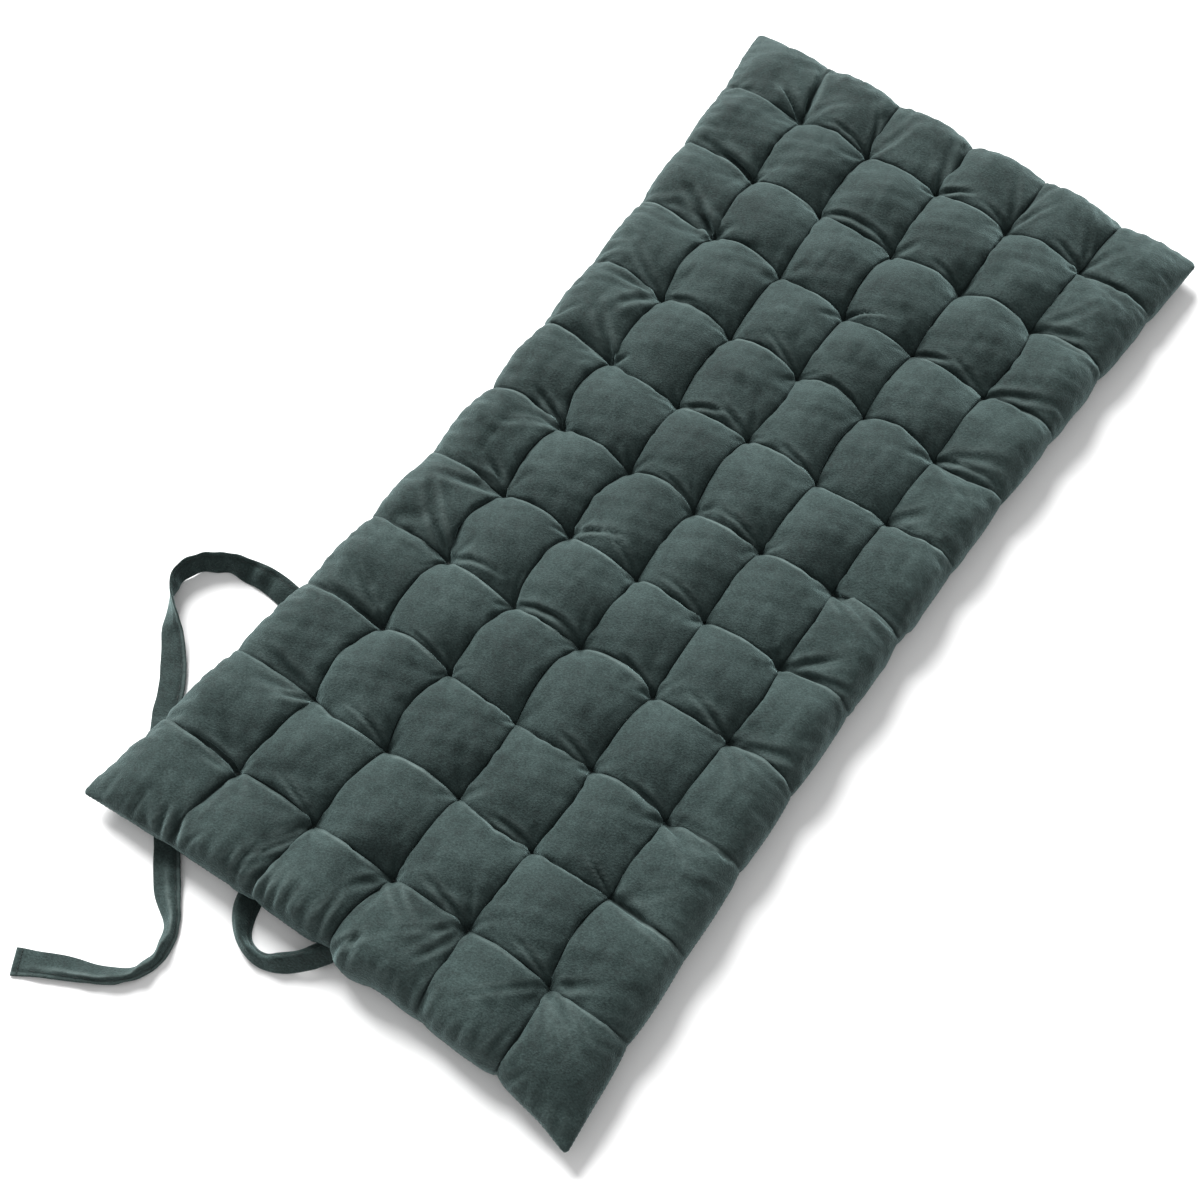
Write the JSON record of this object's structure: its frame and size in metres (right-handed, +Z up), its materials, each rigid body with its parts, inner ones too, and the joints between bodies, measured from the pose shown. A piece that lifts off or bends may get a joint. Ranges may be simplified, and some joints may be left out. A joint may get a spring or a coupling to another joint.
{
  "type": "quilted seat pad",
  "caption": "Long velvet seat pad, tufted in a grid of soft cells, with a pinched seam all round and a velvet tie sewn into the middle of one short edge.",
  "frame": {"origin": "on the floor, under the middle of the pad's outline, which is the bottom centre of its box without the tie", "axes": "+Z up from the floor, +Y along the pad away from the end with the tie, +X across it, to the right seen from the tie end"},
  "size_m": [0.7028, 1.3913, 0.062],
  "materials": {
    "velvet": "dark grey-green velvet with a short pale-catching nap",
    "wadding": "white polyester wadding, not visible",
    "thread": "matt polyester thread in the velvet's colour"
  },
  "bodies": {
    "root": {"cover_top": "velvet", "cover_bottom": "velvet", "wadding_upper": "wadding", "wadding_lower": "wadding", "seam_thread": "thread", "tuft_row_01": "thread", "tuft_row_02": "thread", "tuft_row_03": "thread", "tuft_row_04": "thread", "tuft_row_05": "thread", "tuft_row_06": "thread", "tuft_row_07": "thread", "tuft_row_08": "thread", "tuft_row_09": "thread", "tuft_row_10": "thread", "tuft_row_11": "thread", "tie_strap": "velvet", "tie_topstitch": "thread", "tie_anchor_tack": "thread", "tie_end_hem": "thread"}
  },
  "joints": []
}
